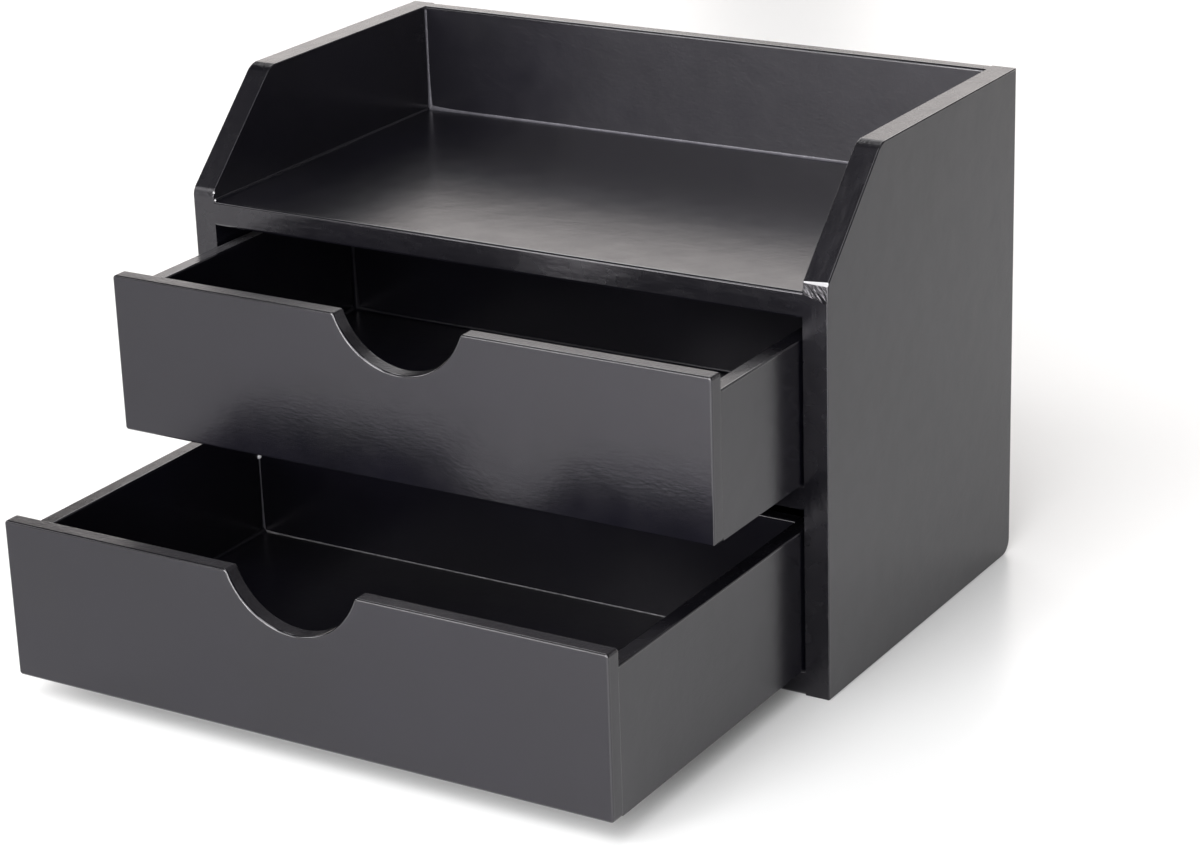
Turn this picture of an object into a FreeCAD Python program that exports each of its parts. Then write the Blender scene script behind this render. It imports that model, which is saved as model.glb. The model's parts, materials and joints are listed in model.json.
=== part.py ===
"""Desk organizer: an open tray over two drawers, in black lacquered fibreboard.

Millimetres. X runs to the right, Y to the back, Z up. The origin is the middle of the case's
footprint, on the surface that it stands on. Both drawers are drawn partly open.
"""

import FreeCAD
import Part
import os
from math import acos, cos, radians, sin, sqrt

from FreeCAD import Vector

# Case
CASE_WIDTH = 250.0
CASE_DEPTH = 142.0
CASE_HEIGHT = 180.0
BOARD = 9.0  # thickness of the sides, the tray, the divider and the base
BACK_PANEL = 6.0  # thickness of the back, which stands between the sides
TRAY_FLOOR = 140.0  # height of the tray's floor
CLIP_FOOT = 143.0  # height where the sides' front edges start to lean back
CLIP_RUN = 38.0  # how far behind the front the top edges start
CLIP_TOP_RADIUS = 3.0
HEEL_RADIUS = 5.5  # rounded corner of the sides at the back of the base
CASE_ARRIS = 0.5  # sanded edge of the case's boards
RUBBED_LEAN = 6.0  # degrees that the flat rubbed under the right side's slant leans back
RUBBED_INNER = 3.6  # how far that flat reaches below the slant, at the panel's two faces
RUBBED_OUTER = 6.4
RUBBED_REACH = 20.0  # size of the tool that makes the flat, more than enough to pass the board

# Drawers
FRONT_THICKNESS = 6.0
DRAWER_WALL = 5.0  # thickness of a drawer's sides and back
DRAWER_BOTTOM = 3.0
DRAWER_LENGTH = 134.0
FRONT_SIDE_GAP = 0.5  # between a drawer's front and the case, at each end
FRONT_TOP_GAP = 1.0
FRONT_OVERHANG = 1.25  # how far a front stands out past the drawer's sides
WALL_DROP = 6.0  # how far the sides stop below the front's top edge
BOTTOM_LIFT = 2.0  # from a drawer's lower edge to the underside of its bottom
GROOVE_DEPTH = 2.5
NOTCH_RADIUS = 26.0
NOTCH_DEPTH = 17.5
NOTCH_LIP_RADIUS = 1.5  # where the finger notch meets the front's top edge
DRAWER_ARRIS = 0.5

# How far each drawer stands out of the case
UPPER_OUT = 58.0
LOWER_OUT = 122.5

# Wooden dowels between the case's boards and its sides
DOWEL_RADIUS = 2.5
DOWEL_IN_BOARD = 15.0
DOWEL_IN_SIDE = 6.0
DOWEL_MARGIN = 28.0  # from a board's front and back edges to its dowels
GLUE_FILM = 0.1  # around a dowel, in its hole

# Wire brads, shot through one board into the edge of another and filled over
BRAD_WIDTH = 1.2
BRAD_THICKNESS = 1.0
BRAD_LENGTH = 18.0
BRAD_HEAD_WIDTH = 2.0
BRAD_HEAD_HEIGHT = 0.8
BRAD_POINT = 1.5
BRAD_COVER = 1.0  # filler over the head
BRAD_MARGIN = 12.0  # from a drawer side's long edges to its brads
BACK_BRADS = 3  # across the width, into the back edge of each board
BACK_BRAD_MARGIN = 36.0  # from a board's ends to the outer ones

# Worked out from the sizes above
INNER_HALF = CASE_WIDTH / 2 - BOARD
FRONT_Y = -CASE_DEPTH / 2
BACK_Y = CASE_DEPTH / 2
BOARD_END_Y = BACK_Y - BACK_PANEL
OPENING = (TRAY_FLOOR - 3 * BOARD) / 2
BASE_LEVEL = 0.0
DIVIDER_LEVEL = BOARD + OPENING
TRAY_LEVEL = TRAY_FLOOR - BOARD
LEVELS = (BASE_LEVEL, DIVIDER_LEVEL, TRAY_LEVEL)
FRONT_HALF = INNER_HALF - FRONT_SIDE_GAP
FRONT_HEIGHT = OPENING - FRONT_TOP_GAP
WALL_HEIGHT = FRONT_HEIGHT - WALL_DROP
WALL_OUTER = FRONT_HALF - FRONT_OVERHANG
WALL_INNER = WALL_OUTER - DRAWER_WALL

ACROSS = Vector(1, 0, 0)
DEPTHWAYS = Vector(0, 1, 0)


def box(x_low, x_high, y_low, y_high, z_low, z_high):
    """A board between two corners."""
    corner = Vector(x_low, y_low, z_low)
    return Part.makeBox(x_high - x_low, y_high - y_low, z_high - z_low, corner)


def same(a, b):
    return abs(a - b) < 1e-6


def soften(shape, radius, test, along=None):
    """Rounds the edges whose ends pass the test, and that run along the given axis if there is one."""
    picked = [e for e in shape.Edges if all(test(v.Point) for v in e.Vertexes)]
    if along:
        picked = [e for e in picked if same(abs(e.tangentAt(e.FirstParameter) * along), 1)]
    return shape.makeFillet(radius, picked)


def placed(shape, joint):
    """A fixing drawn along Z with the joint face at 0, moved to its joint's place and direction."""
    place, outward = joint
    shape.Placement = FreeCAD.Placement(place, FreeCAD.Rotation(Vector(0, 0, 1), outward))
    return shape


def dowel_rod(joint, radius):
    """A rod along one dowel's joint, from inside the board to inside the side."""
    length = DOWEL_IN_BOARD + DOWEL_IN_SIDE
    return placed(Part.makeCylinder(radius, length, Vector(0, 0, -DOWEL_IN_BOARD)), joint)


def brad(joint, shot_board):
    """A headed wire brad with a chisel point. Its head is sunk in the board it is shot through."""
    head = shot_board - BRAD_COVER
    tip = head - BRAD_LENGTH
    shank = BRAD_WIDTH / 2
    rim = BRAD_HEAD_WIDTH / 2
    profile = Part.makePolygon(
        [
            Vector(0, 0, tip),
            Vector(shank, 0, tip + BRAD_POINT),
            Vector(shank, 0, head - BRAD_HEAD_HEIGHT),
            Vector(rim, 0, head - BRAD_HEAD_HEIGHT),
            Vector(rim, 0, head),
            Vector(-rim, 0, head),
            Vector(-rim, 0, head - BRAD_HEAD_HEIGHT),
            Vector(-shank, 0, head - BRAD_HEAD_HEIGHT),
            Vector(-shank, 0, tip + BRAD_POINT),
            Vector(0, 0, tip),
        ]
    )
    profile.translate(Vector(0, -BRAD_THICKNESS / 2, 0))
    return placed(Part.Face(profile).extrude(Vector(0, BRAD_THICKNESS, 0)), joint)


# The case


def dowel_joints(level):
    """Two dowels in each end of a board, pointing out into the sides."""
    middle = level + BOARD / 2
    rows = (FRONT_Y + DOWEL_MARGIN, BOARD_END_Y - DOWEL_MARGIN)
    return [
        (Vector(side * INNER_HALF, y, middle), Vector(side, 0, 0))
        for side in (-1, 1)
        for y in rows
    ]


def dowels(level):
    """The dowels of one board, as separate solids."""
    return Part.makeCompound([dowel_rod(joint, DOWEL_RADIUS) for joint in dowel_joints(level)])


def dowel_holes(level):
    """The blind holes of one board's dowels, as deep as the dowels are long."""
    return [dowel_rod(joint, DOWEL_RADIUS + GLUE_FILM) for joint in dowel_joints(level)]


def back_brads(level):
    """Brads through the back panel into the back edge of a board."""
    reach = INNER_HALF - BACK_BRAD_MARGIN
    step = 2 * reach / (BACK_BRADS - 1)
    places = [Vector(-reach + i * step, BOARD_END_Y, level + BOARD / 2) for i in range(BACK_BRADS)]
    return [brad((place, Vector(0, 1, 0)), BACK_PANEL) for place in places]


def rubbed_off():
    """What was rubbed off the right side's front edge just under its slant, by hand and askew."""
    inner = Vector(INNER_HALF, FRONT_Y, CLIP_FOOT - RUBBED_INNER)
    outer = Vector(CASE_WIDTH / 2, FRONT_Y, CLIP_FOOT - RUBBED_OUTER)
    beyond = (outer - inner).normalize() * RUBBED_REACH
    lean = radians(RUBBED_LEAN)
    up = Vector(0, sin(lean), cos(lean)) * RUBBED_REACH
    corners = [inner - beyond, outer + beyond, outer + beyond + up, inner - beyond + up]
    flat = Part.Face(Part.makePolygon(corners + corners[:1]))
    return flat.extrude(Vector(0, -RUBBED_REACH, 0))


def side_panel(side):
    """A side of the case, with its front corner clipped above the drawers."""
    outer = side * CASE_WIDTH / 2
    inner = side * INNER_HALF
    clip_top = FRONT_Y + CLIP_RUN
    outline = Part.makePolygon(
        [
            Vector(inner, FRONT_Y, 0),
            Vector(inner, BACK_Y, 0),
            Vector(inner, BACK_Y, CASE_HEIGHT),
            Vector(inner, clip_top, CASE_HEIGHT),
            Vector(inner, FRONT_Y, CLIP_FOOT),
            Vector(inner, FRONT_Y, 0),
        ]
    )
    panel = Part.Face(outline).extrude(Vector(outer - inner, 0, 0))
    if side > 0:
        panel = panel.cut(rubbed_off())
    panel = soften(panel, HEEL_RADIUS, lambda p: same(p.y, BACK_Y) and same(p.z, 0))
    panel = soften(
        panel, CLIP_TOP_RADIUS, lambda p: same(p.y, clip_top) and same(p.z, CASE_HEIGHT)
    )
    panel = soften(panel, CASE_ARRIS, lambda p: same(p.x, outer))
    panel = soften(panel, CASE_ARRIS, lambda p: same(p.x, inner) and p.z > TRAY_FLOOR)
    return panel.cut([hole for level in LEVELS for hole in dowel_holes(level)])


def back_panel():
    """The back, full height between the sides."""
    panel = box(-INNER_HALF, INNER_HALF, BOARD_END_Y, BACK_Y, 0, CASE_HEIGHT)
    panel = soften(panel, CASE_ARRIS, lambda p: same(p.z, CASE_HEIGHT), along=ACROSS)
    return panel.cut([nail for level in LEVELS for nail in back_brads(level)])


def shelf(level):
    """A board between the sides: the base, the divider or the tray."""
    board = box(-INNER_HALF, INNER_HALF, FRONT_Y, BOARD_END_Y, level, level + BOARD)
    board = soften(board, CASE_ARRIS, lambda p: same(p.y, FRONT_Y), along=ACROSS)
    return board.cut(dowel_holes(level) + back_brads(level))


# A drawer, by the height of its lower edge and the place of its front face


def brad_heights(level):
    """Two heights for the brads of a drawer's corner."""
    return (level + BRAD_MARGIN, level + WALL_HEIGHT - BRAD_MARGIN)


def front_brads(level, face, side):
    """Brads through the front into the front end of one side."""
    x = side * (WALL_OUTER - DRAWER_WALL / 2)
    y = face + FRONT_THICKNESS
    forwards = Vector(0, -1, 0)
    return [brad((Vector(x, y, z), forwards), FRONT_THICKNESS) for z in brad_heights(level)]


def back_corner_brads(level, face, side):
    """Brads through one side into the end of the drawer's back."""
    x = side * WALL_INNER
    y = face + DRAWER_LENGTH - DRAWER_WALL / 2
    outward = Vector(side, 0, 0)
    return [brad((Vector(x, y, z), outward), DRAWER_WALL) for z in brad_heights(level)]


def bottom_blank(level, face, play=0.0):
    """The sheet that fills the four grooves."""
    reach = GROOVE_DEPTH - play
    return box(
        -WALL_INNER - reach,
        WALL_INNER + reach,
        face + FRONT_THICKNESS - reach,
        face + DRAWER_LENGTH - DRAWER_WALL + reach,
        level + BOTTOM_LIFT,
        level + BOTTOM_LIFT + DRAWER_BOTTOM,
    )


def top_outline(face, top):
    """The front's top edge: straight, round lip, finger notch, round lip, straight."""
    notch_centre = top - NOTCH_DEPTH + NOTCH_RADIUS
    lip_centre = top - NOTCH_LIP_RADIUS
    reach = NOTCH_RADIUS + NOTCH_LIP_RADIUS
    rise = notch_centre - lip_centre
    half = sqrt(reach**2 - rise**2)
    turn = acos(rise / reach)  # from the straight edge round to the notch's arc

    def on_lip(side, angle):
        x = half - NOTCH_LIP_RADIUS * sin(angle)
        return Vector(side * x, face, lip_centre + NOTCH_LIP_RADIUS * cos(angle))

    def lip(side):
        return Part.Arc(on_lip(side, 0), on_lip(side, turn / 2), on_lip(side, turn)).toShape()

    dip = Vector(0, face, top - NOTCH_DEPTH)
    return [
        Part.makeLine(Vector(-FRONT_HALF, face, top), on_lip(-1, 0)),
        lip(-1),
        Part.Arc(on_lip(-1, turn), dip, on_lip(1, turn)).toShape(),
        lip(1),
        Part.makeLine(on_lip(1, 0), Vector(FRONT_HALF, face, top)),
    ]


def drawer_front(level, face):
    """The front, with a round notch for a finger in its top edge."""
    top = level + FRONT_HEIGHT
    low_corners = [
        Vector(FRONT_HALF, face, top),
        Vector(FRONT_HALF, face, level),
        Vector(-FRONT_HALF, face, level),
        Vector(-FRONT_HALF, face, top),
    ]
    outline = Part.Wire(top_outline(face, top) + Part.makePolygon(low_corners).Edges)
    front = Part.Face(outline).extrude(Vector(0, FRONT_THICKNESS, 0))
    front = soften(front, DRAWER_ARRIS, lambda p: same(p.y, face))
    brads = front_brads(level, face, -1) + front_brads(level, face, 1)
    return front.cut([bottom_blank(level, face), *brads])


def drawer_side(level, face, side):
    """A side, butted against the front and grooved for the bottom."""
    x_low, x_high = sorted((side * WALL_INNER, side * WALL_OUTER))
    start = face + FRONT_THICKNESS
    end = face + DRAWER_LENGTH
    top = level + WALL_HEIGHT
    wall = box(x_low, x_high, start, end, level, top)
    wall = soften(wall, DRAWER_ARRIS, lambda p: same(p.z, top), along=DEPTHWAYS)
    brads = front_brads(level, face, side) + back_corner_brads(level, face, side)
    return wall.cut([bottom_blank(level, face), *brads])


def drawer_back(level, face):
    """The back, between the sides."""
    end = face + DRAWER_LENGTH
    top = level + WALL_HEIGHT
    wall = box(-WALL_INNER, WALL_INNER, end - DRAWER_WALL, end, level, top)
    wall = soften(wall, DRAWER_ARRIS, lambda p: same(p.z, top), along=ACROSS)
    brads = back_corner_brads(level, face, -1) + back_corner_brads(level, face, 1)
    return wall.cut([bottom_blank(level, face), *brads])


def drawer(name, level, out):
    """The pieces of one drawer, by name."""
    face = FRONT_Y - out
    brads = [
        nail
        for side in (-1, 1)
        for nail in front_brads(level, face, side) + back_corner_brads(level, face, side)
    ]
    return {
        f"{name}_drawer_front": drawer_front(level, face),
        f"{name}_drawer_left_side": drawer_side(level, face, -1),
        f"{name}_drawer_right_side": drawer_side(level, face, 1),
        f"{name}_drawer_back": drawer_back(level, face),
        f"{name}_drawer_bottom": bottom_blank(level, face, play=0.2),
        f"{name}_drawer_brads": Part.makeCompound(brads),
    }


def case():
    """The pieces of the case, by name."""
    return {
        "left_side_panel": side_panel(-1),
        "right_side_panel": side_panel(1),
        "back_panel": back_panel(),
        "tray_board": shelf(TRAY_LEVEL),
        "divider_board": shelf(DIVIDER_LEVEL),
        "base_board": shelf(BASE_LEVEL),
        "tray_dowels": dowels(TRAY_LEVEL),
        "divider_dowels": dowels(DIVIDER_LEVEL),
        "base_dowels": dowels(BASE_LEVEL),
        "back_panel_brads": Part.makeCompound([nail for level in LEVELS for nail in back_brads(level)]),
    }


def main():
    os.makedirs("parts", exist_ok=True)
    nodes = case()
    nodes.update(drawer("upper", DIVIDER_LEVEL + BOARD, UPPER_OUT))
    nodes.update(drawer("lower", BASE_LEVEL + BOARD, LOWER_OUT))
    for name, shape in nodes.items():
        shape.exportStep(f"parts/{name}.step")


main()
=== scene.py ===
"""The desk organizer's looks: satin black lacquer over fibreboard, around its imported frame."""

import json
from math import acos, cos, exp, pi, radians, sin, tan

import bmesh
import bpy
from bmesh.types import BMEdge, BMFace, BMVert
from mathutils import Matrix, Vector, noise


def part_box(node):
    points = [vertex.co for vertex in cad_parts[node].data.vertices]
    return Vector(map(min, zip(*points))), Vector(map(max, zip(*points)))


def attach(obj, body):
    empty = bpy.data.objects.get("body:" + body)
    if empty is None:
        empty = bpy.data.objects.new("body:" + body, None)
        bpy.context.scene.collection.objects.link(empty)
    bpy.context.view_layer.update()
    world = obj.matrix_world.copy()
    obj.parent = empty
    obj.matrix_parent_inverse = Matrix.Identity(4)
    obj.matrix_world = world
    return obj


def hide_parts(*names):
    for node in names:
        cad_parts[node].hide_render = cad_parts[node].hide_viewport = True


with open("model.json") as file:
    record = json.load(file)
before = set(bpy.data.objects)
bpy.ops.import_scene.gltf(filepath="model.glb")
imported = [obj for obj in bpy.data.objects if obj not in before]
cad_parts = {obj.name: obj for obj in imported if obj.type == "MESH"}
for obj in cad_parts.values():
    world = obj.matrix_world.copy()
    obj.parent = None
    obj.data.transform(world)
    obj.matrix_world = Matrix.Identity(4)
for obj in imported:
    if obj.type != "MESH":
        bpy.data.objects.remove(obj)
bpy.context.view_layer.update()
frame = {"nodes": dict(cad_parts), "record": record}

record = frame["record"]
body_of = {n: body for body, nodes in record["behaviour"]["bodies"].items() for n in nodes}

MM = 0.001
CLOSE = 1e-6  # metres: two coordinates that differ by less are the same
ON_CUT = 1e-7  # metres: a corner that is nearer to a cut is on it

RIGHTWARD = Vector((1, 0, 0))
LEFTWARD = Vector((-1, 0, 0))
FORWARD = Vector((0, -1, 0))
BACKWARD = Vector((0, 1, 0))
UPWARD = Vector((0, 0, 1))

# Shape, in millimetres and degrees, where the frame's boxes don't give it

# The sides, whose front edges fold back into a slant
FOLD_HEIGHT = 143.0
SLANT_RUN = 38.0  # how far behind the front the slant ends at the top
SLANT_TOP_RADIUS = 3.0
HEEL_RADIUS = 5.5  # rounded corner at the back of the base
CASE_ARRIS = 0.5
LIP_ARRIS = 0.35  # along the tray's inner edges
FOLD_ARRIS = 2.0  # of the left side's fold

# The right side's fold is worn: a flat on the front edge, and a facet between it and the slant.
# Each leans back, and meets the front so far below the fold at the panel's inner and outer face
FLAT_LEAN = 6.0
FLAT_BELOW = (3.6, 6.4)
FACET_LEAN = 17.0
FACET_BELOW = (1.24, 2.47)
FACET_ARRIS = 0.1

# The boards and the back
BOARD_ARRIS = 1.0  # along the fronts of the boards and the top of the back
LONG_EDGE = 20.0  # a longer edge runs along a board, and a shorter one through it

# The drawers
DRAWER_ARRIS = 0.7
NOTCH_RADIUS = 26.0
NOTCH_DEPTH = 17.5
NOTCH_LIP = 1.0  # how far the notch's round lips reach along its edges
FRONT_CORNER = 1.2  # radius of a front's outline at its corners
END_MARGIN = 5.0  # the notch's lips are further inside a front's ends than this
WALL_INSET = 0.3  # how far a drawer's sides stay inside the ends of its front

# The filler, paint or glue in the inner corners, by its radius
BACK_COVE = 0.75
UPRIGHT_COVE = 0.6
TRAY_COVE = 0.9
DRAWER_COVE = 1.0
GLUE_COVE = 0.35
COVE_STEP = 2.5  # between two sections
COVE_SWELL = 0.15  # how much its width varies, as a part of it
COVE_SWELL_SIZE = 12.0  # and over what length
COVE_POOL = 1.2  # how much wider it is, as a part of it, at an end where more of it gathers
COVE_POOL_SIZE = 6.0  # and over what length that fades
BACK_TOP_GAP = 1.2  # from the top of an upright one to the top of the case's back
DRAWER_TOP_GAP = 1.0  # and to the top of a drawer's back

# Drops: where, their radius, and how far they turn to the right
PAINT_DROPS = (((-116.0, -70.8, 143.1), 0.6, 10.0), ((-115.6, -70.8, 140.4), 0.5, 10.0))
# the pale drop in the lower drawer's back corner is a painted highlight
HIGHLIGHT_GLUE_DROPS = (((-109.0, -65.0, 43.5), 1.0, 30.0),)
DROP_LEAN = 15.6
DROP_THICKNESS = 0.14  # as a part of the radius
DROP_SUBDIVISIONS = 3

ARRIS_SEGMENTS = 4
ROUND_SEGMENTS = 8
FACET_SEGMENTS = 2
NOTCH_SEGMENTS = 48
LIP_SEGMENTS = 6
COVE_SEGMENTS = 6
CREASE_ANGLE = 3.0  # between two faces, above which they meet in an edge
SHARP_ANGLE = 40.0  # above which that edge stays hard in the shading
RIM_ANGLE = 60.0  # above which it is the rim of a drawer's front
FACE_WEIGHT = 100  # in the shading the largest faces count most, and 50 would be neutral

# Parts of a face's normal along an axis, by which the face gets its finish
SQUARE_ON = 0.9  # it looks that way
ASIDE = 0.1  # it hardly does
END_ON = 0.98  # a drawer front's flat end
LEANING = 0.05  # the worn flat looks up at least so much

# Material slots of a board, of the case's coves and of a drawer's coves
FACE, ARRIS, EDGE, RUBBED, POOLED = range(5)
# the filled, glued and brushed corners are grey: a painted highlight along them
FILLED_HIGHLIGHT, SPRAYED = range(2)
PAINTED, GLUED_HIGHLIGHT, BRUSHED_HIGHLIGHT = range(3)

# Finishes. Each pattern's size along X, Y and Z is in millimetres
NOISE_LOW, NOISE_HIGH = 0.3, 0.7  # between them lies most of a noise

# The relief of a lacquer: its patterns' sizes, and how deep they are in millimetres
FACE_RELIEF = (((2.0, 2.0, 0.8), 0.026), ((14.0, 14.0, 14.0), 0.1))
DEPTHWAYS_RELIEF = (((0.9, 7.0, 7.0), 0.012), ((3.0, 9.0, 9.0), 0.12))
CROSSWAYS_RELIEF = (((7.0, 0.9, 0.9), 0.012), ((9.0, 3.0, 3.0), 0.12))
SAWN_RELIEF = (((1.1, 1.1, 1.1), 0.16), ((4.0, 4.0, 4.0), 0.15))
RUBBED_RELIEF = (((5.0, 5.0, 0.8), 0.2), ((1.2, 1.2, 1.2), 0.05))
RUBBED_TURN = (0.0, 47.0, 0.0)  # degrees
RELIEF_DETAIL = 2.0

# The clouds or specks in which its two tones lie
TONE_CLOUD = (35.0, 35.0, 35.0)
SAWN_SPECK = (1.3, 1.3, 1.3)  # drawn coarser than real board dust, so that it shows
# specks of the grey corner finishes, whose grey is a painted highlight
FILLER_HIGHLIGHT_SPECK = (4.0, 4.0, 4.0)
GLUE_LINE_HIGHLIGHT_SPECK = (2.5, 2.5, 2.5)
# pale streaks on a sanded edge: a painted sheen
SANDED_SHEEN_STREAK = (1.2, 16.0, 4.0)
TONE_DETAIL = 3.0

GLOSS_PATCH = 9.0
GLOSS_DETAIL = 4.0
GLOSS_SPREAD = 0.02  # of the roughness, up and down
NIB_SPACING = 20.0  # between dust nibs
NIB_RADIUS = 0.4  # drawn larger than most real ones, so that they show
NIB_HEIGHT = 0.1
MIRROR_TINT = "fdf9ff"  # what it mirrors turns faintly violet
COAT_ROUGHNESS = 0.06
LACQUER_IOR = 1.5

BEECH_DARK, BEECH_LIGHT = "b98a5e", "e3bf94"
BEECH_FLECK = (8.0, 0.6, 0.6)
BEECH_DETAIL = 4.0
BEECH_DEPTH = 0.03
BEECH_ROUGHNESS = 0.6
BEECH_IOR = 1.5

STEEL = "b9bbbd"
STEEL_PATCH = 2.0
STEEL_DETAIL = 5.0
STEEL_DEPTH = 0.01
STEEL_BRIGHT, STEEL_DULL = 0.22, 0.45  # its roughness

# The floor and the soft lights
TABLETOP = "f2f2f2"
TABLETOP_ROUGHNESS = 0.3
FLOOR_REACH = 6.0  # metres from the middle to each side
SKY_COLOUR = "ffffff"
SKY_STRENGTH = 0.015
LIGHT_DISTANCE = 2.4  # metres
LIGHT_CENTRE = (0, 0, 100)
WARM_LIGHT = "fff9f6"
WARM_LIGHTS = ("low_back", "middle_back", "left_back")

# Name, azimuth (0 is in front), elevation, width and height in degrees, radiance
SOFTBOXES = (
    ("low_key", -22.5, 9, 21, 10, 10.2),
    ("high_key", -18, 19, 11.5, 10, 16.0),
    ("left_overhead", -9.5, 42, 21, 36, 5.4),
    ("right_overhead", 25, 42, 30, 36, 4.2),
    ("low_front", -7, 6.5, 14, 9, 27.0),
    ("low_right", 30, 6.5, 50, 9, 9.0),
    ("low_fill", 19, 14, 50, 20, 3.5),
    ("left_fill", -62.5, 26, 22, 24, 5.3),
    ("key_side", -41.5, 31, 14.5, 14, 2.1),
    ("top", 0, 75, 24, 24, 3.6),
    ("back_top", 180, 75, 24, 24, 0.9),
    ("low_back", 177.5, 9, 54, 10, 2.1),
    ("middle_back", 202.5, 20, 42, 12, 2.1),
    ("high_back", 202.5, 35.5, 36.5, 19, 1.8),
    ("left_back", 235, 9, 52, 10, 2.0),
    ("right_back", 130, 15, 38, 20, 1.0),
    ("tall_strip", -33, 36, 5, 24, 5.0),
    ("rear_strip", 229, 48, 12, 9, 6.0),
    ("behind_camera", 29, 21, 13, 12, 5.0),
)

# The camera, in millimetres and degrees
CAMERA_PLACE = (569.236, -929.984, 461.779)
CAMERA_AZIMUTH = 31.653
CAMERA_ELEVATION = 20.582
CAMERA_ROLL = -1.852
CAMERA_LENS = 97.258
CAMERA_SENSOR = 36.0
CAMERA_NEAR, CAMERA_FAR = 0.05, 50.0  # metres


# Meshes


def same(a, b):
    return abs(a - b) < CLOSE


def only(kind, geometry):
    """The corners, the edges or the faces among what an operator gives."""
    return [g for g in geometry if isinstance(g, kind)]


def block(low, high):
    """A board between two corners."""
    bm = bmesh.new()
    bmesh.ops.create_cube(bm, size=1.0)
    bmesh.ops.scale(bm, vec=high - low, verts=bm.verts)
    bmesh.ops.translate(bm, vec=(low + high) / 2, verts=bm.verts)
    return bm


def score(bm, point, normal, clear=False):
    """Cuts the faces along a plane, and with clear takes away what is outside it."""
    geometry = bm.verts[:] + bm.edges[:] + bm.faces[:]
    cut = bmesh.ops.bisect_plane(
        bm, geom=geometry, dist=ON_CUT, plane_co=point, plane_no=normal, clear_outer=clear,
    )
    return only(BMEdge, cut["geom_cut"])


def cut_off(bm, point, normal):
    """Takes away what is outside a plane, and closes the cut with the face that it gives."""
    edges = score(bm, point, normal, clear=True)
    return bmesh.ops.contextual_create(bm, geom=edges)["faces"][0]


def edges_where(bm, test):
    """The creased edges whose two ends both pass the test."""
    return [
        e for e in bm.edges
        if all(test(v.co) for v in e.verts) and e.calc_face_angle(0) > radians(CREASE_ANGLE)
    ]


def soften(bm, edges, radius, segments=ARRIS_SEGMENTS, slot=ARRIS):
    """Rounds edges, and gives the new faces a finish, mostly the arris's own."""
    rounded = bmesh.ops.bevel(
        bm, geom=edges, offset=radius * MM, segments=segments, profile=0.5, affect="EDGES",
        clamp_overlap=True, material=-1,
    )
    for face in rounded["faces"]:
        face.material_index = slot


def harden(bm, place, reach):
    """Keeps the shading from running on over the edges that meet near a place."""
    for v in bm.verts:
        if (v.co - place).length < reach:
            for edge in v.link_edges:
                edge.smooth = False


def finish_faces(bm, slot, test):
    """Gives a finish to the flat faces whose normals pass the test."""
    bm.normal_update()
    for face in bm.faces:
        if face.material_index == FACE and test(face.normal):
            face.material_index = slot


def piece(bm, name, body, finishes):
    """Makes the mesh an object that rides on its body."""
    bmesh.ops.recalc_face_normals(bm, faces=bm.faces)
    for edge in bm.edges:
        edge.smooth = edge.smooth and edge.calc_face_angle(0) < radians(SHARP_ANGLE)
    for face in bm.faces:
        face.smooth = True
    mesh = bpy.data.meshes.new(name)
    bm.to_mesh(mesh)
    bm.free()
    for finish in finishes:
        mesh.materials.append(finish)
    obj = bpy.data.objects.new(name, mesh)
    bpy.context.scene.collection.objects.link(obj)
    weighted = obj.modifiers.new("even_faces", "WEIGHTED_NORMAL")
    weighted.weight = FACE_WEIGHT
    weighted.keep_sharp = True
    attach(obj, body)
    return obj


def painted(bm, node, finishes):
    """A board that stands for its CAD node."""
    obj = piece(bm, "painted_" + node, body_of[node], finishes)
    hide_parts(node)


def refinish(node, finish):
    """Leaves a CAD node its shape, and gives it its finish."""
    frame["nodes"][node].material_slots[0].material = finish


# Materials


def linear(hex_code):
    """An sRGB hex value as a linear colour."""
    channels = [int(hex_code[i:i + 2], 16) / 255 for i in (0, 2, 4)]
    return [c / 12.92 if c <= 0.04045 else ((c + 0.055) / 1.055) ** 2.4 for c in channels] + [1.0]


def add(tree, kind, inputs=(), **settings):
    """Adds a node with its settings. An input gets a constant, or the socket that feeds it."""
    node = tree.nodes.new(kind)
    for key, value in settings.items():
        setattr(node, key, value)
    for key, value in dict(inputs).items():
        if isinstance(value, bpy.types.NodeSocket):
            tree.links.new(value, node.inputs[key])
        else:
            node.inputs[key].default_value = value
    return node


def material(name):
    """A material with its node tree, its shader and the socket of its Object coordinates."""
    made = bpy.data.materials.new(name)
    made.use_nodes = True
    tree = made.node_tree
    shader = tree.nodes["Principled BSDF"]
    place = add(tree, "ShaderNodeTexCoord").outputs["Object"]
    return made, tree, shader, place


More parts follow.
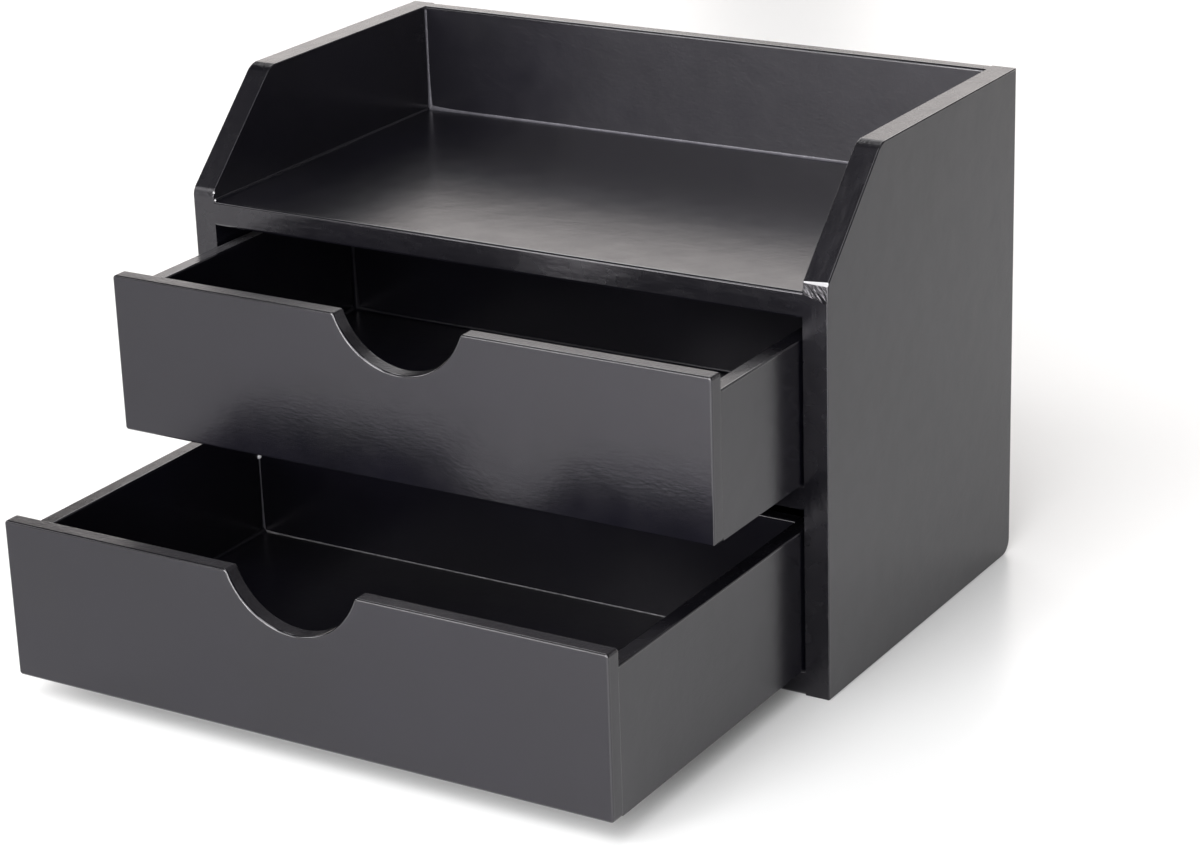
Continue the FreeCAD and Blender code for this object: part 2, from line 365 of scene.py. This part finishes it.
def lacquer(
    name, dark, light, rough, relief, coat=0.0, turn=(0.0, 0.0, 0.0), cloud=TONE_CLOUD,
):
    """Black nitrocellulose lacquer, sprayed over primed fibreboard.

    The eye gets a soft mirror with a faint orange peel, two tones that lie in clouds or specks,
    and a few dust nibs."""
    made, tree, shader, place = material(name)
    drawn = add(
        tree, "ShaderNodeMapping", {"Vector": place, "Scale": [s * MM for s in cloud]},
        vector_type="TEXTURE",
    )
    tone = add(
        tree, "ShaderNodeTexNoise",
        {"Vector": drawn.outputs["Vector"], "Scale": 1.0, "Detail": TONE_DETAIL},
    )
    # a Mix has several sockets with one name, so its colours are reached by their places
    tint = add(
        tree, "ShaderNodeMix", {0: tone.outputs["Fac"], 6: linear(dark), 7: linear(light)},
        data_type="RGBA",
    )
    tree.links.new(tint.outputs[2], shader.inputs["Base Color"])
    patch = add(
        tree, "ShaderNodeTexNoise",
        {"Vector": place, "Scale": 1 / (GLOSS_PATCH * MM), "Detail": GLOSS_DETAIL},
    )
    gloss = add(
        tree, "ShaderNodeMapRange",
        {"Value": patch.outputs["Fac"], "From Min": NOISE_LOW, "From Max": NOISE_HIGH,
         "To Min": rough - GLOSS_SPREAD, "To Max": rough + GLOSS_SPREAD},
    )
    tree.links.new(gloss.outputs["Result"], shader.inputs["Roughness"])
    cells = add(tree, "ShaderNodeTexVoronoi", {"Vector": place, "Scale": 1 / (NIB_SPACING * MM)})
    nib = add(
        tree, "ShaderNodeMapRange",
        {"Value": cells.outputs["Distance"],
         "From Min": 0.0, "From Max": NIB_RADIUS / NIB_SPACING,
         "To Min": NIB_HEIGHT, "To Max": 0.0},
        interpolation_type="SMOOTHSTEP",
    )
    height = nib.outputs["Result"]
    for size, depth in relief:
        spread = add(
            tree, "ShaderNodeMapping",
            {"Vector": place, "Scale": [s * MM for s in size],
             "Rotation": [radians(t) for t in turn]},
            vector_type="TEXTURE",
        )
        grain = add(
            tree, "ShaderNodeTexNoise",
            {"Vector": spread.outputs["Vector"], "Scale": 1.0, "Detail": RELIEF_DETAIL},
        )
        height = add(
            tree, "ShaderNodeMath", {0: grain.outputs["Fac"], 1: depth, 2: height},
            operation="MULTIPLY_ADD",
        ).outputs["Value"]
    bump = add(tree, "ShaderNodeBump", {"Height": height, "Strength": 1.0, "Distance": MM})
    tree.links.new(bump.outputs["Normal"], shader.inputs["Normal"])
    shader.inputs["IOR"].default_value = LACQUER_IOR
    shader.inputs["Specular Tint"].default_value = linear(MIRROR_TINT)
    shader.inputs["Coat Weight"].default_value = coat
    shader.inputs["Coat Roughness"].default_value = COAT_ROUGHNESS
    return made


def lacquers():
    """The lacquer's finishes, by where they lie."""
    return {
        # full coats on the boards' faces: a deep black under a soft grey mirror
        "face": lacquer(
            "satin_black_lacquer", dark="060609", light="0a0911", rough=0.24,
            relief=FACE_RELIEF,
        ),
        # thin coats where a spray gun hardly reaches: the same black, and a duller mirror
        "thin": lacquer(
            "thinly_sprayed_black_lacquer", dark="060609", light="0a0911", rough=0.3,
            relief=FACE_RELIEF,
        ),
        # lacquer drawn smooth round an arris: a narrow bright line
        "arris": lacquer(
            "thin_black_lacquer", dark="09090b", light="0f0e13", rough=0.13,
            relief=FACE_RELIEF, coat=0.6,
        ),
        # a sanded board edge under full coats: fine lines along it, and a mirror a bit duller
        "depthways": lacquer(
            "black_board_edge_depthways", dark="070709", light="0c0b10", rough=0.27,
            relief=DEPTHWAYS_RELIEF,
        ),
        "crossways": lacquer(
            "black_board_edge_crossways", dark="070709", light="0c0b10", rough=0.27,
            relief=CROSSWAYS_RELIEF,
        ),
        # an edge as the saw left it, which soaks up its lacquer: rough, with grey specks
        "sawn": lacquer(
            "black_sawn_edge", dark="0a090b", light="28272a", rough=0.3,
            relief=SAWN_RELIEF, cloud=SAWN_SPECK,
        ),
        # an edge sanded once more after spraying, with fine lines along it; its pale streaks are
        # a painted sheen
        "sanded_sheen": lacquer(
            "sanded_edge_painted_sheen", dark="020203", light="545356", rough=0.27,
            relief=DEPTHWAYS_RELIEF, cloud=SANDED_SHEEN_STREAK,
        ),
        # a flat that handling has polished: glossier, and rippled across its slope
        "rubbed": lacquer(
            "rubbed_black_lacquer", dark="070708", light="151417", rough=0.16,
            relief=RUBBED_RELIEF, turn=RUBBED_TURN,
        ),
        # lacquer that ran together and dried thick: almost wet
        "pooled": lacquer(
            "pooled_black_lacquer", dark="070709", light="0b0a10", rough=0.1,
            relief=FACE_RELIEF, coat=1.0,
        ),
        # filler brushed into the corners: a dull and uneven dark grey, which is a painted
        # highlight along the case's back corners and the lower drawer's upright back corners
        "filler": lacquer(
            "brushed_black_filler", dark="333236", light="535258", rough=0.32,
            relief=SAWN_RELIEF, cloud=FILLER_HIGHLIGHT_SPECK,
        ),
        # a broken grey line along the foot of the lower drawer's back: wood glue that seeped out,
        # and its grey is a painted highlight
        "glue_line_highlight": lacquer(
            "glue_line_painted_highlight", dark="242326", light="8a898c", rough=0.3,
            relief=SAWN_RELIEF, cloud=GLUE_LINE_HIGHLIGHT_SPECK,
        ),
        # a pale and dull drop in the lower drawer's back corner: its paleness is a painted
        # highlight
        "glue_drop_highlight": lacquer(
            "glue_drop_painted_highlight", dark="b9b8bb", light="d2d1d4", rough=0.3,
            relief=SAWN_RELIEF, cloud=FILLER_HIGHLIGHT_SPECK,
        ),
    }


def beech(name):
    """Turned beech: pale and dull, with fine short flecks along the rod."""
    made, tree, shader, place = material(name)
    spread = add(
        tree, "ShaderNodeMapping",
        {"Vector": place, "Scale": [1 / (s * MM) for s in BEECH_FLECK]},
    )
    fleck = add(
        tree, "ShaderNodeTexNoise",
        {"Vector": spread.outputs["Vector"], "Scale": 1.0, "Detail": BEECH_DETAIL},
    )
    tint = add(
        tree, "ShaderNodeMix",
        {0: fleck.outputs["Fac"], 6: linear(BEECH_DARK), 7: linear(BEECH_LIGHT)},
        data_type="RGBA",
    )
    tree.links.new(tint.outputs[2], shader.inputs["Base Color"])
    bump = add(
        tree, "ShaderNodeBump",
        {"Height": fleck.outputs["Fac"], "Strength": 1.0, "Distance": BEECH_DEPTH * MM},
    )
    tree.links.new(bump.outputs["Normal"], shader.inputs["Normal"])
    shader.inputs["Roughness"].default_value = BEECH_ROUGHNESS
    shader.inputs["IOR"].default_value = BEECH_IOR
    return made


def steel_wire(name):
    """Drawn and flattened steel wire: a bright metal with duller patches."""
    made, tree, shader, place = material(name)
    patch = add(
        tree, "ShaderNodeTexNoise",
        {"Vector": place, "Scale": 1 / (STEEL_PATCH * MM), "Detail": STEEL_DETAIL},
    )
    gloss = add(
        tree, "ShaderNodeMapRange",
        {"Value": patch.outputs["Fac"], "From Min": NOISE_LOW, "From Max": NOISE_HIGH,
         "To Min": STEEL_BRIGHT, "To Max": STEEL_DULL},
    )
    tree.links.new(gloss.outputs["Result"], shader.inputs["Roughness"])
    bump = add(
        tree, "ShaderNodeBump",
        {"Height": patch.outputs["Fac"], "Strength": 1.0, "Distance": STEEL_DEPTH * MM},
    )
    tree.links.new(bump.outputs["Normal"], shader.inputs["Normal"])
    shader.inputs["Base Color"].default_value = linear(STEEL)
    shader.inputs["Metallic"].default_value = 1.0
    return made


# Boards


def side_panel(side, finishes):
    """A side panel of the case. The right one is worn where its front edge folds."""
    node = f"{side}_side_panel"
    right = side == "right"
    low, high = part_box(node)
    inner, outer = (low.x, high.x) if right else (high.x, low.x)
    tray_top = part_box("tray_board")[1].z
    back_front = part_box("back_panel")[0].y
    fold = Vector((0, low.y, FOLD_HEIGHT * MM))
    slant_end = low.y + SLANT_RUN * MM

    bm = block(low, high)
    cut_off(bm, fold, Vector((0, FOLD_HEIGHT * MM - high.z, SLANT_RUN * MM)))
    if right:
        leaning_cut(bm, low.y, inner, outer, FLAT_LEAN, FLAT_BELOW)
    heel = edges_where(bm, lambda p: same(p.y, high.y) and same(p.z, low.z))
    soften(bm, heel, HEEL_RADIUS, ROUND_SEGMENTS)
    corner = edges_where(bm, lambda p: same(p.y, slant_end) and same(p.z, high.z))
    soften(bm, corner, SLANT_TOP_RADIUS, ROUND_SEGMENTS)
    if not right:
        soften(bm, edges_where(bm, lambda p: same(p.z, fold.z)), FOLD_ARRIS, ROUND_SEGMENTS)
    # so far the roundings are part of the outline, and have the face's finish
    for face in bm.faces:
        face.material_index = FACE

    # the inner edges are rounded only above the tray and in front of the back
    score(bm, Vector((0, back_front, 0)), BACKWARD)
    score(bm, Vector((0, 0, tray_top)), UPWARD)
    soften(bm, edges_where(bm, lambda p: same(p.x, outer)), CASE_ARRIS)
    lip = edges_where(
        bm, lambda p: same(p.x, inner) and p.z > tray_top - CLOSE and p.y < back_front + CLOSE
    )
    soften(bm, lip, LIP_ARRIS, slot=ARRIS if right else FACE)
    # where that rounding stops halfway, its last corner belongs to faces of every direction
    for end in ((inner, low.y, tray_top), (inner, back_front, high.z)):
        harden(bm, Vector(end), 2 * LIP_ARRIS * MM)

    if right:
        facet = leaning_cut(bm, low.y, inner, outer, FACET_LEAN, FACET_BELOW)
        facet.material_index = POOLED
        soften(bm, facet.edges[:], FACET_ARRIS, FACET_SEGMENTS)
        finish_faces(bm, RUBBED, lambda n: n.y < -SQUARE_ON and n.z > LEANING)
    finish_faces(bm, EDGE, lambda n: abs(n.x) < ASIDE and n.z > -ASIDE and n.y < SQUARE_ON)
    painted(bm, node, finishes)


def leaning_cut(bm, front, inner, outer, lean, below):
    """Cuts off what stands in front of a plane that leans back.

    Below says how far under the fold it meets the front, at the panel's inner and outer face."""
    a = Vector((inner, front, (FOLD_HEIGHT - below[0]) * MM))
    b = Vector((outer, front, (FOLD_HEIGHT - below[1]) * MM))
    up = Vector((0, sin(radians(lean)), cos(radians(lean))))
    normal = (b - a).cross(up)
    if normal.y > 0:
        normal.negate()
    return cut_off(bm, a, normal)


def board(node, low, high, shown, radius, segments, finishes):
    """A board with one edge that shows, whose two long arrises are rounded.

    Shown is the way that this edge looks."""
    bm = block(low, high)
    reach = max(low.dot(shown), high.dot(shown))
    arrises = edges_where(bm, lambda p: same(p.dot(shown), reach))
    long_arrises = [e for e in arrises if e.calc_length() > LONG_EDGE * MM]
    soften(bm, long_arrises, radius, segments)
    finish_faces(bm, EDGE, lambda n: n.dot(shown) > SQUARE_ON)
    painted(bm, node, finishes)


def drawer_wall(drawer, wall, finishes):
    node = f"{drawer}_drawer_{wall}"
    low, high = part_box(node)
    # the sides are flush with the ends of the front, but for a hair
    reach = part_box(f"{drawer}_drawer_front")[1].x - WALL_INSET * MM
    if wall == "left_side":
        low.x = -reach
    if wall == "right_side":
        high.x = reach
    board(node, low, high, UPWARD, DRAWER_ARRIS, ARRIS_SEGMENTS, finishes)


def drawer_front(drawer, finishes):
    """A front: its notch's arc is spun, its outline closed round it and pulled to a thickness."""
    node = f"{drawer}_drawer_front"
    low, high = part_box(node)
    above = NOTCH_RADIUS - NOTCH_DEPTH
    centre = Vector((0, low.y, high.z + above * MM))
    turn = acos(above / NOTCH_RADIUS)
    bm = bmesh.new()
    first = bm.verts.new((-sin(turn) * NOTCH_RADIUS * MM, low.y, high.z))
    arc = bmesh.ops.spin(
        bm, geom=[first], cent=centre, axis=BACKWARD, angle=-2 * turn, steps=NOTCH_SEGMENTS,
    )
    outline = [arc["geom_last"][0]] + [
        bm.verts.new((x, low.y, z))
        for x, z in ((high.x, high.z), (high.x, low.z), (low.x, low.z), (low.x, high.z))
    ] + [first]
    for a, b in zip(outline, outline[1:]):
        bm.edges.new((a, b))
    bmesh.ops.contextual_create(bm, geom=bm.edges[:])
    inside = high.x - END_MARGIN * MM
    lips = [v for v in bm.verts if same(v.co.z, high.z) and abs(v.co.x) < inside]
    corners = [v for v in bm.verts if same(abs(v.co.x), high.x)]
    for verts, reach in ((lips, NOTCH_LIP), (corners, FRONT_CORNER)):
        bmesh.ops.bevel(
            bm, geom=verts, offset=reach * MM, segments=LIP_SEGMENTS, profile=0.5,
            affect="VERTICES", clamp_overlap=True, material=-1,
        )
    pulled = bmesh.ops.extrude_face_region(bm, geom=bm.faces[:])
    thickness = Vector((0, high.y - low.y, 0))
    bmesh.ops.translate(bm, vec=thickness, verts=only(BMVert, pulled["geom"]))
    bmesh.ops.recalc_face_normals(bm, faces=bm.faces)
    rim = [
        e for e in bm.edges
        if e.calc_face_angle(0) > radians(RIM_ANGLE) and same(*(v.co.y for v in e.verts))
    ]
    soften(bm, rim, DRAWER_ARRIS)
    finish_faces(bm, EDGE, lambda n: abs(n.y) < ASIDE and abs(n.x) < END_ON)
    painted(bm, node, finishes)


# What lies in the corners and on the boards


def cove(bm, size, start, end, one, other, slot, pools=(0.0, 0.0)):
    """What fills an inner corner from start to end, hollow like a quarter pipe.

    One and other are the ways from the corner's line along its two walls. The pools say how much
    wider it is at its start and at its end."""
    radius = size * MM
    along = end - start
    way = along.normalized()
    count = round(along.length / (COVE_STEP * MM))
    first = bm.verts.new(start + one * radius)
    arc = bmesh.ops.spin(
        bm, geom=[first], cent=start + (one + other) * radius, axis=one.cross(other),
        angle=-pi / 2, steps=COVE_SEGMENTS,
    )
    last = arc["geom_last"][0]
    chain = [first]
    while chain[-1] is not last:
        nexts = [e.other_vert(chain[-1]) for e in chain[-1].link_edges]
        chain.append([v for v in nexts if v not in chain][0])
    section = [bm.faces.new(chain + [bm.verts.new(start)])]
    for i in range(count):
        pulled = bmesh.ops.extrude_face_region(bm, geom=section)
        # the first section closes the cove, and the next ones would be walls inside it
        if i > 0:
            bmesh.ops.delete(bm, geom=section, context="FACES_ONLY")
        section = only(BMFace, pulled["geom"])
        bmesh.ops.translate(bm, vec=along / count, verts=only(BMVert, pulled["geom"]))
    # the tags tell this cove's faces and corners from those of the coves before it
    for face in bm.faces:
        if not face.tag:
            face.tag = True
            face.material_index = slot
    for v in bm.verts:
        if v.tag:
            continue
        v.tag = True
        run = (v.co - start).dot(way)
        foot = start + way * run
        swell = 1 + COVE_SWELL * noise.noise(foot / (COVE_SWELL_SIZE * MM))
        for pool, reach in zip(pools, (run, along.length - run)):
            swell += pool * exp(-reach / (COVE_POOL_SIZE * MM))
        v.co = foot + (v.co - foot) * swell


def case_coves(finishes):
    """Filler in the back's corners, its grey a painted highlight, and paint in the tray's two
    side corners.
    """
    bm = bmesh.new()
    tray_low, tray_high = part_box("tray_board")
    back_low, back_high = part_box("back_panel")
    left, right, level = tray_low.x, tray_high.x, tray_high.z
    front, back = tray_low.y + BOARD_ARRIS * MM, back_low.y
    top = back_high.z - BACK_TOP_GAP * MM
    cove(
        bm, BACK_COVE, Vector((left, back, level)), Vector((right, back, level)),
        FORWARD, UPWARD, FILLED_HIGHLIGHT, (COVE_POOL, 0.0),
    )
    for x, inward in ((left, RIGHTWARD), (right, LEFTWARD)):
        cove(
            bm, TRAY_COVE, Vector((x, front, level)), Vector((x, back, level)),
            inward, UPWARD, SPRAYED,
        )
        cove(
            bm, UPRIGHT_COVE, Vector((x, back, level)), Vector((x, back, top)),
            inward, FORWARD, FILLED_HIGHLIGHT, (COVE_POOL, 0.0),
        )
    piece(bm, "case_corner_filler", "case", finishes)


def drawer_coves(drawer, finishes):
    """Paint in a drawer's corners.

    The lower drawer's back has thin lines there instead, of glue below and of filler upright, and
    their grey is a painted highlight."""
    bm = bmesh.new()
    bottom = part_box(f"{drawer}_drawer_bottom")[1].z
    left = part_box(f"{drawer}_drawer_left_side")[1].x
    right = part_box(f"{drawer}_drawer_right_side")[0].x
    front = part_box(f"{drawer}_drawer_front")[1].y
    back_low, back_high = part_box(f"{drawer}_drawer_back")
    back = back_low.y
    top = back_high.z - DRAWER_TOP_GAP * MM
    # what lies in a wall's corners: its radius, and its slots where it is level and upright
    paint = (DRAWER_COVE, PAINTED, PAINTED)
    back_line = (GLUE_COVE, GLUED_HIGHLIGHT, BRUSHED_HIGHLIGHT) if drawer == "lower" else paint
    walls = ((front, BACKWARD, paint), (back, FORWARD, back_line))
    for y, inward, (size, level_slot, _) in walls:
        cove(
            bm, size, Vector((left, y, bottom)), Vector((right, y, bottom)),
            inward, UPWARD, level_slot, (COVE_POOL, 0.0),
        )
    for x, inward in ((left, RIGHTWARD), (right, LEFTWARD)):
        cove(
            bm, DRAWER_COVE, Vector((x, front, bottom)), Vector((x, back, bottom)),
            inward, UPWARD, PAINTED, (0.0, COVE_POOL),
        )
        for y, onward, (size, _, upright_slot) in walls:
            cove(
                bm, size, Vector((x, y, bottom)), Vector((x, y, top)),
                inward, onward, upright_slot, (COVE_POOL, 0.0),
            )
    piece(bm, f"{drawer}_drawer_corner_paint", f"{drawer}_drawer", finishes)


def drops(rows, name, body, finishes):
    """Flat drops that lean back and turn aside a little."""
    bm = bmesh.new()
    lean = Matrix.Rotation(-radians(DROP_LEAN), 4, "X")
    flat = Matrix.Diagonal((1.0, DROP_THICKNESS, 1.0, 1.0))
    for place, radius, turn in rows:
        made = bmesh.ops.create_icosphere(
            bm, subdivisions=DROP_SUBDIVISIONS, radius=radius * MM
        )
        turned = Matrix.Rotation(radians(turn), 4, "Z") @ lean
        placed = Matrix.Translation(Vector(place) * MM) @ turned @ flat
        bmesh.ops.transform(bm, matrix=placed, verts=made["verts"])
    piece(bm, name, body, finishes)


# The studio


def direction(azimuth, elevation):
    """The way from the object to a light or to the camera, from two angles in degrees."""
    a, e = radians(azimuth), radians(elevation)
    return Vector((sin(a) * cos(e), -cos(a) * cos(e), sin(e)))


def sky():
    world = bpy.data.worlds.new("studio")
    bpy.context.scene.world = world
    world.use_nodes = True
    background = world.node_tree.nodes["Background"]
    background.inputs["Color"].default_value = linear(SKY_COLOUR)
    background.inputs["Strength"].default_value = SKY_STRENGTH


def softbox(name, azimuth, elevation, wide, high, radiance):
    lamp = bpy.data.lights.new(name, "AREA")
    lamp.shape = "RECTANGLE"
    lamp.size = 2 * LIGHT_DISTANCE * tan(radians(wide / 2))
    lamp.size_y = 2 * LIGHT_DISTANCE * tan(radians(high / 2))
    lamp.energy = radiance * pi * lamp.size * lamp.size_y
    if name in WARM_LIGHTS:
        lamp.color = linear(WARM_LIGHT)[:3]
    obj = bpy.data.objects.new(name, lamp)
    bpy.context.scene.collection.objects.link(obj)
    away = direction(azimuth, elevation)
    obj.location = Vector(LIGHT_CENTRE) * MM + LIGHT_DISTANCE * away
    obj.visible_camera = False
    obj.rotation_mode = "QUATERNION"
    obj.rotation_quaternion = (-away).to_track_quat("-Z", "Y")


def floor():
    """A white laminate tabletop: even, with a wide and faint mirror of the object."""
    bm = bmesh.new()
    bmesh.ops.create_grid(bm, x_segments=1, y_segments=1, size=FLOOR_REACH)
    mesh = bpy.data.meshes.new("floor")
    bm.to_mesh(mesh)
    bm.free()
    laminate, _, shader, _ = material("white_tabletop")
    shader.inputs["Base Color"].default_value = linear(TABLETOP)
    shader.inputs["Roughness"].default_value = TABLETOP_ROUGHNESS
    mesh.materials.append(laminate)
    obj = bpy.data.objects.new("floor", mesh)
    bpy.context.scene.collection.objects.link(obj)


def camera():
    data = bpy.data.cameras.new("camera")
    data.lens = CAMERA_LENS
    data.sensor_width = CAMERA_SENSOR
    data.clip_start = CAMERA_NEAR
    data.clip_end = CAMERA_FAR
    obj = bpy.data.objects.new("camera", data)
    bpy.context.scene.collection.objects.link(obj)
    azimuth, roll = radians(CAMERA_AZIMUTH), radians(CAMERA_ROLL)
    back = direction(CAMERA_AZIMUTH, CAMERA_ELEVATION)
    right = Vector((cos(azimuth), sin(azimuth), 0))
    up = back.cross(right)
    x_axis = cos(roll) * right + sin(roll) * up
    y_axis = -sin(roll) * right + cos(roll) * up
    turned = Matrix((x_axis, y_axis, back)).transposed().to_4x4()
    obj.matrix_world = Matrix.Translation(Vector(CAMERA_PLACE) * MM) @ turned
    bpy.context.scene.camera = obj


def main():
    lacquer_of = lacquers()
    along_depth = [lacquer_of[k] for k in ("face", "arris", "depthways", "rubbed", "pooled")]
    along_width = [lacquer_of[k] for k in ("face", "arris", "crossways")]
    back_finishes = [lacquer_of[k] for k in ("thin", "arris", "crossways")]
    front_finishes = [lacquer_of[k] for k in ("face", "arris", "sawn")]
    left_finishes = {
        # the upper drawer's left wall top has pale streaks of painted sheen
        "upper": [lacquer_of[k] for k in ("face", "arris", "sanded_sheen")],
        "lower": [lacquer_of[k] for k in ("face", "arris", "depthways")],
    }

    for side in ("left", "right"):
        side_panel(side, along_depth)
    back_low, back_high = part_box("back_panel")
    board(
        "back_panel", back_low, back_high, UPWARD, BOARD_ARRIS, ROUND_SEGMENTS, back_finishes,
    )
    for node in ("tray_board", "divider_board", "base_board"):
        low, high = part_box(node)
        board(node, low, high, FORWARD, BOARD_ARRIS, ROUND_SEGMENTS, along_width)
    # the filler's grey is a painted highlight along the back's corners
    case_coves([lacquer_of["filler"], lacquer_of["face"]])
    drops(PAINT_DROPS, "case_paint_drops", "case", [lacquer_of["pooled"]])

    for drawer in ("upper", "lower"):
        drawer_front(drawer, front_finishes)
        drawer_wall(drawer, "left_side", left_finishes[drawer])
        drawer_wall(drawer, "right_side", along_depth)
        drawer_wall(drawer, "back", along_width)
        refinish(f"{drawer}_drawer_bottom", lacquer_of["thin"])
        # the lower drawer's grey corner lines are painted highlights
        drawer_coves(drawer, [lacquer_of["thin"], lacquer_of["glue_line_highlight"], lacquer_of["filler"]])
    # the pale drop is a painted highlight
    drops(HIGHLIGHT_GLUE_DROPS, "lower_drawer_highlight_drop", "lower_drawer", [lacquer_of["glue_drop_highlight"]])

    rod = beech("turned_beech")
    for node in ("tray_dowels", "divider_dowels", "base_dowels"):
        refinish(node, rod)
    wire = steel_wire("drawn_steel_wire")
    for node in ("back_panel_brads", "upper_drawer_brads", "lower_drawer_brads"):
        refinish(node, wire)

    floor()
    sky()
    for row in SOFTBOXES:
        softbox(*row)
    camera()
    bpy.context.scene.view_settings.view_transform = "Standard"


main()
